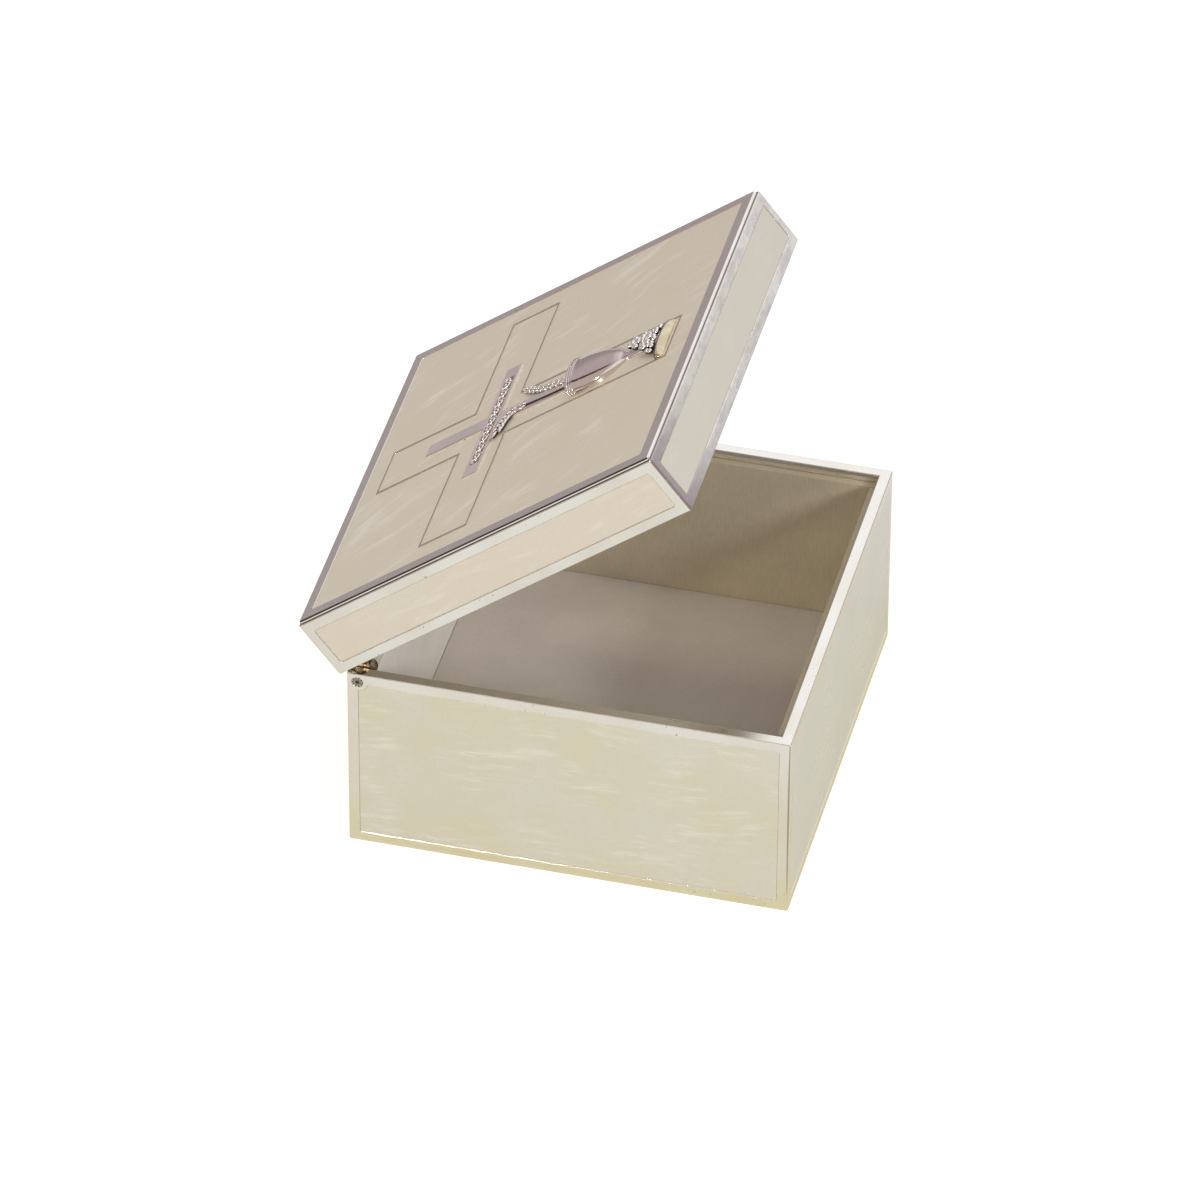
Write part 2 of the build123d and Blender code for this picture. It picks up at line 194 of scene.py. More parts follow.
def through(rows, share):
    """A point on the smooth line through some rows of numbers, share 0 to 1."""
    spans = len(rows) - 1
    at = min(max(share, 0.0), 1.0) * spans
    first = min(int(at), spans - 1)
    t = at - first
    p1, p2 = rows[first], rows[first + 1]
    p0 = rows[first - 1] if first else [2 * a - b for a, b in zip(p1, p2)]
    p3 = rows[first + 2] if first + 2 <= spans else [2 * b - a for a, b in zip(p1, p2)]
    return [
        0.5 * (2 * b + (c - a) * t + (2 * a - 5 * b + 4 * c - d) * t**2 + (3 * b - a - 3 * c + d) * t**3)
        for a, b, c, d in zip(p0, p1, p2, p3)
    ]


def evenly_through(rows, share):
    """The share of the smooth line at which a share of its length has been covered."""
    samples = 120
    points = [Vector(through(rows, step / samples)) for step in range(samples + 1)]
    lengths = [0.0]
    for one, two in zip(points, points[1:]):
        lengths.append(lengths[-1] + (two - one).length)
    wanted = share * lengths[-1]
    for step, length in enumerate(lengths[1:]):
        if length >= wanted:
            return (step + (wanted - lengths[step]) / (length - lengths[step])) / samples
    return 1.0


# ------------------------------------------------------------ node helpers


def plug_in(tree, node, inputs):
    """Links or sets a node's inputs, each by its name or its number."""
    for name, value in inputs.items():
        if isinstance(value, bpy.types.NodeSocket):
            tree.links.new(value, node.inputs[name])
        else:
            node.inputs[name].default_value = value


def add_node(tree, kind, inputs=None, **settings):
    made = tree.nodes.new(kind)
    for name, value in settings.items():
        setattr(made, name, value)
    plug_in(tree, made, inputs or {})
    return made


def start_material(name):
    """A new material, its node tree, its shader and the object's own coordinates."""
    material = bpy.data.materials.new(name)
    material.use_nodes = True
    tree = material.node_tree
    shader = tree.nodes["Principled BSDF"]
    place = add_node(tree, "ShaderNodeTexCoord").outputs["Object"]
    return material, tree, shader, place


def turned(tree, place, turn=(0, 0, 0), stretch=(1, 1, 1), shift=(0, 0, 0)):
    inputs = {"Vector": place, "Rotation": turn, "Scale": stretch, "Location": shift}
    return add_node(tree, "ShaderNodeMapping", inputs).outputs["Vector"]


def noise(tree, place, scale, detail, roughness=0.5, distortion=0.0):
    return add_node(tree, "ShaderNodeTexNoise", {
        "Vector": place, "Scale": scale, "Detail": detail, "Roughness": roughness, "Distortion": distortion,
    }).outputs["Fac"]


def between(tree, value, low, high, to_low=0.0, to_high=1.0):
    """Spreads the part of a pattern from low to high smoothly over a new range."""
    inputs = {"Value": value, "From Min": low, "From Max": high, "To Min": to_low, "To Max": to_high}
    made = add_node(tree, "ShaderNodeMapRange", inputs, interpolation_type="SMOOTHSTEP")
    return made.outputs["Result"]


def maths(tree, operation, first, second=0.0):
    return add_node(tree, "ShaderNodeMath", {0: first, 1: second}, operation=operation).outputs["Value"]


def product(tree, first, second):
    return maths(tree, "MULTIPLY", first, second)


def band(tree, value, rise, fall, strength=1.0):
    """Full strength inside a band of values. Rise and fall are the low and high end of its two soft edges."""
    return product(tree, between(tree, value, *rise), between(tree, value, *fall, strength, 0.0))


def vector_maths(tree, operation, *values):
    return add_node(tree, "ShaderNodeVectorMath", dict(enumerate(values)), operation=operation)


def blend(tree, factor, first, second, how="MIX"):
    """Mixes two colours, each of them a socket or three numbers."""
    tones = [tone if isinstance(tone, bpy.types.NodeSocket) else (*tone, 1.0) for tone in (first, second)]
    inputs = {0: factor, 6: tones[0], 7: tones[1]}
    return add_node(tree, "ShaderNodeMix", inputs, data_type="RGBA", blend_type=how).outputs[2]


def shaded(tree, colour, shade):
    """A colour made a little lighter or darker by a pattern of numbers near 1."""
    grey = add_node(tree, "ShaderNodeCombineColor", {"Red": shade, "Green": shade, "Blue": shade})
    return blend(tree, 1.0, colour, grey.outputs["Color"], "MULTIPLY")


def bump(tree, height, depth, under=None):
    inputs = {"Height": height, "Distance": depth, "Strength": 1.0}
    if under:
        inputs["Normal"] = under
    return add_node(tree, "ShaderNodeBump", inputs).outputs["Normal"]


# ------------------------------------------------------------ metal finishes

# Tones for the plate: tarnish, a dark ground, clouds and washes, and greys and blacks of painted shade.
tarnish_brown = (0.16, 0.12, 0.08)
highlight_dimming_grey = (0.50, 0.475, 0.42)
darker_line_silver = (0.70, 0.62, 0.50)
shadow_line_black = (0.03, 0.022, 0.018)
underside_shade_black = (0.045, 0.035, 0.028)
painted_shade_black = (0.04, 0.03, 0.025)
panel_brown = (0.21, 0.125, 0.105)
clouded_mauve = (0.60, 0.56, 0.585)
corner_shade_mauve = (0.40, 0.345, 0.36)
warm_wash_pale = (0.78, 0.70, 0.52)
warm_wash_deep = (0.62, 0.53, 0.36)
foot_shadow_black = (0.06, 0.045, 0.035)
pin_collar = (0.90, 0.88, 0.83)


def along_lid(tree, place, axis):
    """Distance along one of the lid's own axes, measured from the middle of its top enamel."""
    direction = relief_seat.to_3x3() @ Vector([1.0 if axis == i else 0.0 for i in range(3)])
    dot = vector_maths(tree, "DOT_PRODUCT", place, direction)
    return maths(tree, "SUBTRACT", dot.outputs["Value"], direction.dot(relief_seat.translation))


def plated_metal(name, pale, warm, rough, wave_depth, wave_scale=260, cloud_scale=70,
                 extra=None, polished_above=None, dimmed_by=None):
    """Polished plate: faint warm clouds, worn specks, hairline scratches and a slow unevenness."""
    material, tree, shader, place = start_material(name)
    clouds = noise(tree, place, cloud_scale, 3)
    colour = blend(tree, between(tree, clouds, 0.35, 0.68), pale, warm)
    patches = between(tree, noise(tree, place, 120, 2), 0.52, 0.66)
    specks = between(tree, noise(tree, place, 1500, 2), 0.66, 0.74)
    tarnish = product(tree, patches, specks)
    colour = blend(tree, product(tree, tarnish, 0.75), colour, tarnish_brown)
    if extra:
        colour = extra(tree, place, colour)
    streaks = noise(tree, turned(tree, place, (0.3, 0.5, 0.2), (300, 4200, 4200)), 1.0, 2)
    cross_streaks = noise(tree, turned(tree, place, (0.4, 0.1, 1.3), (4600, 260, 4600)), 1.0, 2)
    scratches = between(tree, maths(tree, "MAXIMUM", streaks, cross_streaks), 0.62, 0.78)
    marks = product(tree, maths(tree, "ADD", scratches, tarnish), 0.14)
    roughness = maths(tree, "ADD", between(tree, clouds, 0.3, 0.7, rough, rough * 1.7), marks)
    # Over the edge that is picked out, a grey is painted to dim its bright reflection, as painted shade, and
    # the finish is made rougher.
    if dimmed_by:
        worn = dimmed_by(tree, place)
        colour = blend(tree, product(tree, worn, 0.8), colour, highlight_dimming_grey)
        roughness = maths(tree, "ADD", roughness, product(tree, worn, 0.55))
    if polished_above:
        height = along_lid(tree, place, 2)
        brushed = between(tree, height, polished_above, polished_above + 0.04 * mm, 1.0, 0.35)
        roughness = product(tree, roughness, brushed)
    hand_work = between(tree, noise(tree, place, 55, 1), 0.45, 0.7)
    waves = bump(tree, product(tree, noise(tree, place, wave_scale, 1), hand_work), wave_depth)
    fine = bump(tree, scratches, 0.004 * mm, waves)
    plug_in(tree, shader, {"Base Color": colour, "Metallic": 1.0, "Roughness": roughness, "Normal": fine})
    return material


def dimmed_rim_edge(tree, place):
    """The rounded edge just under the base's rim, where a grey is painted over its bright reflection as
    painted shade.
    """
    height = add_node(tree, "ShaderNodeSeparateXYZ", {"Vector": place}).outputs["Z"]
    lower_edge = (base_rim - 0.18 * mm, base_rim - 0.13 * mm)
    upper_edge = (base_rim - 0.01 * mm, base_rim - 0.001 * mm)
    return band(tree, height, lower_edge, upper_edge)


def dark_ledge(tree, place, colour):
    """Painted shade on the ledge round the top plate, and a clouded front with painted shade darkening it
    towards its left corner.
    """
    height = along_lid(tree, place, 2)
    # Painted shade on the ledge, where it meets the plate.
    ledge = between(tree, height, lid_ledge - 0.06 * mm, lid_ledge - 0.02 * mm, 0.0, 0.45)
    colour = blend(tree, ledge, colour, painted_shade_black)
    ahead = along_lid(tree, place, 1)
    front = between(tree, ahead, -box_reach + 0.15 * mm, -box_reach + 0.35 * mm, 1.0, 0.0)
    clouds = noise(tree, turned(tree, place, stretch=(260, 520, 520)), 1.0, 4, 0.65)
    mottle = between(tree, clouds, 0.38, 0.66, 0.1, 0.6)
    colour = blend(tree, product(tree, front, mottle), colour, clouded_mauve)
    # Painted shade, darker towards the front's left corner.
    corner = between(tree, along_lid(tree, place, 0), -44 * mm, -20 * mm, 0.85, 0.0)
    return blend(tree, product(tree, front, corner), colour, corner_shade_mauve)


def dark_outlines(tree, place, colour):
    """Darker silver on the lines between the top plate's enamel fields, a painted dark reflection on the
    chamfers of its sides, and painted shade in the crevice along its foot.
    """
    across = maths(tree, "ABSOLUTE", along_lid(tree, place, 0))
    ahead = maths(tree, "ABSOLUTE", along_lid(tree, place, 1))
    reach = maths(tree, "MAXIMUM", across, ahead)
    field_reach = plate_reach - plate_border
    lines = between(tree, reach, field_reach - 0.2 * mm, field_reach - 0.1 * mm, 1.0, 0.0)
    colour = blend(tree, lines, colour, darker_line_silver)
    height = along_lid(tree, place, 2)
    # Painted dark reflection on the chamfer of the plate's left and right sides.
    slope = (-plate_chamfer - 0.02 * mm, -plate_chamfer + 0.02 * mm)
    rim = band(tree, height, slope, (0.05 * mm, 0.09 * mm), 0.93)
    slope_top = plate_reach - plate_chamfer
    rim = product(tree, rim, between(tree, across, slope_top - 0.04 * mm, slope_top - 0.01 * mm))
    # Painted shade in the crevice where the plate's foot meets the ledge.
    crevice = between(tree, height, lid_ledge + 0.06 * mm, lid_ledge + 0.10 * mm, 0.92, 0.0)
    return blend(tree, maths(tree, "MAXIMUM", rim, crevice), colour, shadow_line_black)


def dark_panel(tree, place, colour):
    """Dark ground left behind the scroll on the small cross."""
    panel = bar_thick - panel_sink
    height = along_lid(tree, place, 2)
    below, above = (panel - 0.04 * mm, panel - 0.02 * mm), (panel + 0.02 * mm, panel + 0.10 * mm)
    ground = band(tree, height, below, above)
    return blend(tree, product(tree, ground, 0.72), colour, panel_brown)


def painted_underside_shade(tree, place, colour):
    """Painted shade on the lower part of each raised grain, from each grain's own height, darkening the
    hollows between grains.
    """
    raised = add_node(tree, "ShaderNodeAttribute", attribute_name="raised").outputs["Fac"]
    shade_below = between(tree, raised, 0.50, 0.74, 0.95, 0.0)
    return blend(tree, shade_below, colour, underside_shade_black)


def warm_foot_wash(tree, place, colour):
    """A warmer wash over the sloping front of the chalice's foot, with a painted shadow line behind it."""
    from_back = maths(tree, "SUBTRACT", lid_back_edge, along_lid(tree, place, 1))
    streaks = noise(tree, place, 420, 3, 0.6, 0.8)
    wash = blend(tree, between(tree, streaks, 0.35, 0.65), warm_wash_pale, warm_wash_deep)
    washed = between(tree, from_back, foot_slope - 0.05 * mm, foot_slope + 0.10 * mm)
    colour = blend(tree, washed, colour, wash)
    # A painted shadow line behind the foot's slope.
    line_start, line_end = foot_slope - 0.65 * mm, foot_slope - 0.15 * mm
    line = band(tree, from_back, (line_start, line_start + 0.15 * mm), (line_end, line_end + 0.15 * mm))
    colour = blend(tree, product(tree, line, 0.85), colour, foot_shadow_black)
    return painted_underside_shade(tree, place, colour)


def fluted_pin(tree, place, colour):
    """A fluted ring round the pin's end and a groove about its centre, both painted dark as shade."""
    flute_count = 10
    split = add_node(tree, "ShaderNodeSeparateXYZ", {"Vector": place})
    along = maths(tree, "SUBTRACT", split.outputs["Y"], hinge_y)
    up = maths(tree, "SUBTRACT", split.outputs["Z"], hinge_z)
    reach = maths(tree, "SQRT", maths(tree, "ADD", product(tree, along, along), product(tree, up, up)))
    petals = maths(tree, "COSINE", product(tree, maths(tree, "ARCTAN2", up, along), flute_count))
    edge = product(tree, maths(tree, "ADD", petals, 5.3), 0.195 * mm)
    outside = between(tree, maths(tree, "SUBTRACT", reach, edge), -0.03 * mm, 0.03 * mm)
    flutes = product(tree, between(tree, reach, 0.84 * mm, 0.92 * mm), maths(tree, "SUBTRACT", 1.0, outside))
    groove = band(tree, reach, (0.30 * mm, 0.36 * mm), (0.42 * mm, 0.50 * mm))
    dark = maths(tree, "MAXIMUM", flutes, product(tree, groove, 0.6))
    colour = blend(tree, outside, colour, pin_collar)
    return blend(tree, product(tree, dark, 0.95), colour, painted_shade_black)


# The six silvers below are one silver plate; each part's copy is toned paler or darker, warmer or pinker, for
# the light and reflections that it catches: painted light and shade.
silver = plated_metal(
    "silver_plate", (0.925, 0.912, 0.885), (0.89, 0.86, 0.80), 0.09, 0.07 * mm, dimmed_by=dimmed_rim_edge)
lid_silver = plated_metal(
    "lid_silver_plate", (0.90, 0.89, 0.85), (0.84, 0.81, 0.74), 0.10, 0.12 * mm, extra=dark_ledge)
plate_silver = plated_metal(
    "top_plate_silver", (0.90, 0.88, 0.86), (0.87, 0.83, 0.79), 0.09, 0.03 * mm, extra=dark_outlines)
chalice_silver = plated_metal(
    "chalice_silver", (0.75, 0.69, 0.685), (0.70, 0.64, 0.62), 0.06, 0.02 * mm, 420, extra=warm_foot_wash)
cross_silver = plated_metal(
    "cross_silver", (0.99, 0.95, 0.93), (0.96, 0.90, 0.875), 0.30, 0.02 * mm, 420, extra=dark_panel,
    polished_above=bar_thick + 0.01 * mm)
grain_silver = plated_metal(
    "grain_silver", (0.88, 0.85, 0.85), (0.82, 0.76, 0.75), 0.08, 0.02 * mm, 420, extra=painted_underside_shade)
# The lugs' brass is clouded with near-black patches that paint dark reflections.
dark_clouded_brass = plated_metal(
    "dark_clouded_brass", (0.38, 0.285, 0.18), (0.035, 0.026, 0.018), 0.36, 0.14 * mm, 1100, cloud_scale=900)
pin_steel = plated_metal(
    "pin_steel", (0.46, 0.42, 0.37), (0.36, 0.31, 0.26), 0.3, 0.02 * mm, 700, extra=fluted_pin)

# ------------------------------------------------------------ enamel


def pearl_enamel(name, cream, cloud, wisp, turn, stretch, wisp_strength, sway=5 * mm, wave=1.0):
    """Cream enamel with soft clouds and pearly brush-like wisps under a clear skin."""
    material, tree, shader, place = start_material(name)
    flat = turned(tree, place, turn)
    # The strokes sway as a brush does, so the coordinates that they follow are drawn a little out of line.
    drift = add_node(tree, "ShaderNodeTexNoise", {"Vector": flat, "Scale": 50.0, "Detail": 0.0})
    centred = vector_maths(tree, "SUBTRACT", drift.outputs["Color"], (0.5, 0.5, 0.5)).outputs[0]
    flow = vector_maths(tree, "MULTIPLY_ADD", centred, (sway, sway, sway), flat).outputs[0]
    clouds = between(tree, noise(tree, flow, 75, 2, 0.5), 0.28, 0.72)
    colour = blend(tree, clouds, cream, cloud)
    fine_strokes = noise(tree, turned(tree, flow, stretch=stretch), 1.0, 4, 0.62)
    broad_stretch = [0.55 * part for part in stretch]
    broad_strokes = noise(tree, turned(tree, flow, stretch=broad_stretch, shift=(3, 7, 5)), 1.0, 3, 0.6)
    strokes = maths(tree, "MAXIMUM", fine_strokes, product(tree, broad_strokes, 0.97))
    patches = between(tree, noise(tree, flow, 90, 1), 0.40, 0.64)
    wisps = product(tree, between(tree, strokes, 0.50, 0.72), patches)
    colour = blend(tree, product(tree, wisps, wisp_strength), colour, wisp)
    colour = shaded(tree, colour, between(tree, noise(tree, place, 2600, 2), 0.3, 0.7, 0.98, 1.02))
    roughness = between(tree, clouds, 0.0, 1.0, 0.27, 0.33)
    swell = bump(tree, noise(tree, place, 110, 1), 0.05 * wave * mm)
    skin = bump(tree, noise(tree, place, 900, 2), 0.0018 * wave * mm, swell)
    plug_in(tree, shader, {"Base Color": colour, "Roughness": roughness, "Normal": skin,
                           "Coat Weight": 0.35, "Coat Roughness": 0.1, "IOR": 1.5})
    return material


level_strokes = (125, 125, 1050)
slanting_strokes = (480, 62, 62)
# All five are one cream pearl enamel; each face's copy is toned lighter or darker, warmer or greyer, for the
# light that falls on that face: painted light and shade.
base_enamel = pearl_enamel(
    "base_pearl_enamel", (0.58, 0.555, 0.475), (0.575, 0.545, 0.41), (0.70, 0.675, 0.60),
    (0.05, 0, 0), level_strokes, 0.65)
base_front_enamel = pearl_enamel(
    "base_front_pearl_enamel", (0.62, 0.612, 0.565), (0.61, 0.60, 0.54), (0.70, 0.69, 0.65),
    (0, 0.03, 0), level_strokes, 0.3, wave=0.1)
lid_side_enamel = pearl_enamel(
    "lid_side_pearl_enamel", (0.602, 0.548, 0.458), (0.608, 0.545, 0.448), (0.69, 0.66, 0.583),
    (-lid_turn, 0, 0), level_strokes, 0.5)
lid_front_enamel = pearl_enamel(
    "lid_front_pearl_enamel", (0.627, 0.59, 0.514), (0.632, 0.583, 0.495), (0.72, 0.69, 0.62),
    (-lid_turn, 0, 0), level_strokes, 0.3, wave=0.4)
lid_top_enamel = pearl_enamel(
    "lid_top_pearl_enamel", (0.81, 0.72, 0.59), (0.785, 0.70, 0.555), (0.95, 0.90, 0.81),
    (-lid_turn, 0, -0.45), slanting_strokes, 0.72, sway=9 * mm, wave=0.15)

# ------------------------------------------------------------ cloth and felt


def lining_cloth(name, tone, light, nap, turn=(0, 0, 0)):
    """Fine woven lining with a brushed nap."""
    material, tree, shader, place = start_material(name)
    flat = turned(tree, place, turn)
    threads = [
        add_node(tree, "ShaderNodeTexWave", {
            "Vector": flat, "Scale": 560.0, "Distortion": 2.2, "Detail": 2.0, "Detail Scale": 1.4,
        }, wave_type="BANDS", bands_direction=direction).outputs["Fac"]
        for direction in "XYZ"
    ]
    weave = maths(tree, "ADD", maths(tree, "ADD", threads[0], threads[1]), threads[2])
    pile = noise(tree, turned(tree, flat, stretch=nap), 1.0, 3, 0.65)
    patches = noise(tree, flat, 95, 3)
    brushed_light = between(tree, pile, 0.3, 0.7, 0.0, 0.75)
    woven_light = between(tree, weave, 0.6, 2.4, 0.0, 0.25)
    shade = maths(tree, "ADD", brushed_light, woven_light)
    colour = shaded(tree, blend(tree, shade, tone, light), between(tree, patches, 0.3, 0.7, 0.97, 1.03))
    roughness = between(tree, pile, 0.3, 0.7, 0.82, 0.97)
    woven = bump(tree, weave, 0.012 * mm)
    brushed = bump(tree, pile, 0.035 * mm, woven)
    plug_in(tree, shader, {"Base Color": colour, "Roughness": roughness, "Normal": brushed,
                           "Sheen Weight": 0.25, "Sheen Roughness": 0.45})
    return material


fine_nap = (1900, 1900, 1900)
wall_nap = (2100, 2100, 520)
felt_nap = (1100, 1100, 1100)
# The floor, wall, back and lid cloths are one lining cloth; the back wall's copy is toned much lighter and
# the side walls' darker and browner, for the light and shade that fall inside the box: painted light and
# shade.
floor_cloth = lining_cloth("floor_cloth", (0.60, 0.54, 0.478), (0.655, 0.60, 0.54), fine_nap)
wall_cloth = lining_cloth("wall_cloth", (0.445, 0.375, 0.265), (0.51, 0.435, 0.315), wall_nap)
back_cloth = lining_cloth("back_cloth", (0.765, 0.72, 0.655), (0.84, 0.80, 0.745), wall_nap)
lid_cloth = lining_cloth("lid_cloth", (0.60, 0.54, 0.44), (0.70, 0.64, 0.54), fine_nap, (-lid_turn, 0, 0))
foot_felt = lining_cloth("foot_felt", (0.30, 0.27, 0.22), (0.42, 0.38, 0.32), felt_nap)

# ------------------------------------------------------------ metal and enamel as built

finishes = {
    "base_shell": silver, "lid_shell": lid_silver, "lid_top_plate": plate_silver,
    "hinge_lug_left": dark_clouded_brass, "hinge_lug_right": dark_clouded_brass,
    "hinge_pin_left": pin_steel, "hinge_pin_right": pin_steel,
    "lid_enamel_field": lid_top_enamel, "lid_enamel_cross": lid_top_enamel,
}
for side in ("front", "back", "left", "right"):
    finishes[f"base_enamel_{side}"] = base_front_enamel if side == "front" else base_enamel
    finishes[f"lid_enamel_{side}"] = lid_front_enamel if side == "front" else lid_side_enamel

for node_name, finish in finishes.items():
    node = frame["nodes"][node_name]
    node.data.materials.clear()
    node.data.materials.append(finish)


def soften_edges(node, width, sharper_than=40):
    """Rounds a rigid part's edges a little, as buffing leaves them."""
    weld = node.modifiers.new("weld", "WELD")
    weld.merge_threshold = weld_reach
    flats = node.modifiers.new("whole_faces", "DECIMATE")
    flats.decimate_type = "DISSOLVE"
    flats.angle_limit = math.radians(0.2)
    edges = node.modifiers.new("buffed_edges", "BEVEL")
    edges.width = width
    edges.segments = 3
    edges.limit_method = "ANGLE"
    edges.angle_limit = math.radians(sharper_than)
    edges.harden_normals = True
    edges.miter_outer = "MITER_ARC"
    edges.use_clamp_overlap = False
    shading = node.modifiers.new("flat_shading", "WEIGHTED_NORMAL")
    shading.weight = 50


# At 40 degrees the base's rounded rim would be bevelled too, into spikes at the corners of the back wall.
soften_edges(frame["nodes"]["base_shell"], 0.12 * mm, sharper_than=50)
for node_name, width in (("lid_shell", 0.2), ("lid_top_plate", 0.1), ("lid_enamel_field", 0.06),
                         ("lid_enamel_cross", 0.06), ("hinge_lug_left", 0.12), ("hinge_lug_right", 0.12)):
    soften_edges(frame["nodes"][node_name], width * mm)

# ------------------------------------------------------------ linings


def flat_box(node_name, matrix):
    """A part's lowest and highest corner on the bench, before it is seated by the matrix."""
    away = matrix.inverted()
    corners = [away @ corner.co for corner in frame["nodes"][node_name].data.vertices]
    low = Vector(min(corner[i] for corner in corners) for i in range(3))
    high = Vector(max(corner[i] for corner in corners) for i in range(3))
    return low, high


board_edge = 0.16 * mm
board_cuts = 36
wall_crown = 0.12 * mm


def cloth_board(node_name, shown_axis, shown_side, crown, body, material, matrix, grow=0.07 * mm):
    """A thin board wrapped in cloth, with rolled edges and a low crown on its shown face.

    It grows a little past its node's edges, so that no gap shows in a corner.
    """
    low, high = flat_box(node_name, matrix)
    for axis in range(3):
        if axis != shown_axis:
            low[axis] -= grow
            high[axis] += grow
    if shown_side > 0:
        high[shown_axis] -= crown
    else:
        low[shown_axis] += crown
    put_down()
    bpy.ops.mesh.primitive_cube_add(size=1, location=(low + high) / 2, scale=high - low)
    board = name_piece(node_name + "_cloth")
    settle(board)
    open_up(board, "EDGE")
    bpy.ops.mesh.select_all(action="SELECT")
    bpy.ops.mesh.bevel(offset=board_edge, segments=3, affect="EDGES")
    choose(board, "EDGE", lambda edge: edge.calc_length() > 4 * mm)
    bpy.ops.mesh.subdivide(number_cuts=board_cuts)
    put_down()
    middle, half = (low + high) / 2, (high - low) / 2
    across = [axis for axis in range(3) if axis != shown_axis]
    for corner in board.data.vertices:
        rise = crown
        for axis in across:
            reach = abs(corner.co[axis] - middle[axis]) / half[axis]
            rise *= 1 - reach**4
        if (corner.co[shown_axis] - middle[shown_axis]) * shown_side > 0.3 * half[shown_axis]:
            corner.co[shown_axis] += shown_side * rise
    smooth(board, 60)
    seat(board, matrix)
    finish_piece(board, body, material, node_name)


base_seat = Matrix.Identity(4)
cloth_board("base_lining_floor", 2, 1, 0.2 * mm, "base", floor_cloth, base_seat,
            grow=0.27 * mm)
for side, axis, shown in (("front", 1, 1), ("back", 1, -1), ("left", 0, 1), ("right", 0, -1)):
    cloth = back_cloth if side == "back" else wall_cloth
    cloth_board(f"base_lining_{side}", axis, shown, wall_crown, "base", cloth, base_seat)
    cloth_board(f"lid_lining_{side}", axis, shown, wall_crown, "lid", lid_cloth, lid_seat)
cloth_board("lid_lining_top", 2, -1, 0.25 * mm, "lid", lid_cloth, lid_seat)

# The felt under the base, with round corners and a worn lower edge
felt_corner = 2 * mm
felt_edge = 0.2 * mm
felt_low, felt_high = flat_box("base_felt_pad", base_seat)
put_down()
bpy.ops.mesh.primitive_cube_add(size=1, location=(felt_low + felt_high) / 2, scale=felt_high - felt_low)
felt = name_piece("foot_felt_pad")
settle(felt)
open_up(felt, "EDGE")
choose(felt, "EDGE", lambda edge: abs(edge.verts[0].co.z - edge.verts[1].co.z) > 0.5 * mm)
bpy.ops.mesh.bevel(offset=felt_corner, segments=8, affect="EDGES")
choose(felt, "FACE", lambda face: face.normal.z < -0.9)
bpy.ops.mesh.inset(thickness=0.25 * mm, depth=0)
choose(felt, "EDGE", lambda edge: all(corner.co.z < felt_low.z + 0.1 * mm for corner in edge.verts)
       and all(len(corner.link_faces) > 2 for corner in edge.verts)
       and any(face.normal.z > -0.5 for face in edge.link_faces))
bpy.ops.mesh.bevel(offset=felt_edge, segments=3, affect="EDGES")
put_down()
smooth(felt, 50)
finish_piece(felt, "base", foot_felt, "base_felt_pad")

# ------------------------------------------------------------ the small cross

bar_wide = 3.75 * mm
arm_reach = 17.8 * mm
scroll_reach = 14.9 * mm
arm_y = lid_back_edge - 35.5 * mm
top_end_y = lid_back_edge - 18.9 * mm
stem_end_y = lid_back_edge - 57.4 * mm
face_chamfer = 0.13 * mm
panel_border = 0.5 * mm
panel_slope = 0.10 * mm

put_down()
bpy.ops.mesh.primitive_cube_add(size=1, location=(0, arm_y, (bar_thick - sink) / 2),
                                scale=(bar_wide, bar_wide, bar_thick + sink))
cross = name_piece("small_cross")
settle(cross)
open_up(cross, "FACE")
side_steps = (scroll_reach - bar_wide / 2, arm_reach - scroll_reach)
arm_steps = (
    (Vector((1, 0, 0)), side_steps),
    (Vector((-1, 0, 0)), side_steps),
    (Vector((0, 1, 0)), (top_end_y - arm_y - bar_wide / 2,)),
    (Vector((0, -1, 0)), (arm_y - stem_end_y - bar_wide / 2,)),
)
for direction, reaches in arm_steps:
    choose(cross, "FACE", lambda face: face.normal.dot(direction) > 0.9
           and (middle_of(face) - Vector((0, arm_y, 0))).length < bar_wide * 0.7)
    for reach in reaches:
        bpy.ops.mesh.extrude_region_move(TRANSFORM_OT_translate={"value": direction * reach})
choose(cross, "EDGE", lambda edge: len(edge.link_faces) == 2
       and edge.link_faces[0].normal.angle(edge.link_faces[1].normal) > 1
       and middle_of(edge).z > bar_thick - 0.2 * mm)
bpy.ops.mesh.bevel(offset=face_chamfer, segments=2, affect="EDGES")
choose(cross, "FACE", lambda face: face.normal.z > 0.99 and abs(middle_of(face).y - arm_y) < 0.1 * mm
       and abs(middle_of(face).x) < scroll_reach)
bpy.ops.mesh.inset(thickness=panel_border, depth=0)
bpy.ops.mesh.inset(thickness=panel_slope, depth=-panel_sink)
put_down()
smooth(cross, 20)

# A running scroll along the cross's arms, with a berry in each turn and a smaller one between turns
scroll_turn = 0.74 * mm
scroll_wire = 0.20 * mm
scroll_turns = 19
scroll_top = bar_thick - 0.04 * mm
berry_r = 0.30 * mm
small_berry = Matrix.Scale(0.8, 4)

put_down()
bpy.ops.mesh.primitive_torus_add(major_radius=scroll_turn, minor_radius=scroll_wire, major_segments=20,
                                 minor_segments=8, location=(0, 0, 0))
turn_piece = name_piece("scroll_turn")
open_up(turn_piece, "FACE")
choose(turn_piece, "VERT", lambda corner: corner.co.y < -0.02 * mm)
bpy.ops.mesh.delete(type="VERT")
choose(turn_piece, "EDGE", lambda edge: len(edge.link_faces) == 1)
bpy.ops.mesh.edge_face_add()
put_down()
face_outwards(turn_piece)
smooth(turn_piece, 60)

bpy.ops.mesh.primitive_uv_sphere_add(segments=12, ring_count=8, radius=berry_r, location=(0, 0, 0))
berry = name_piece("berry")
smooth(berry, 60)

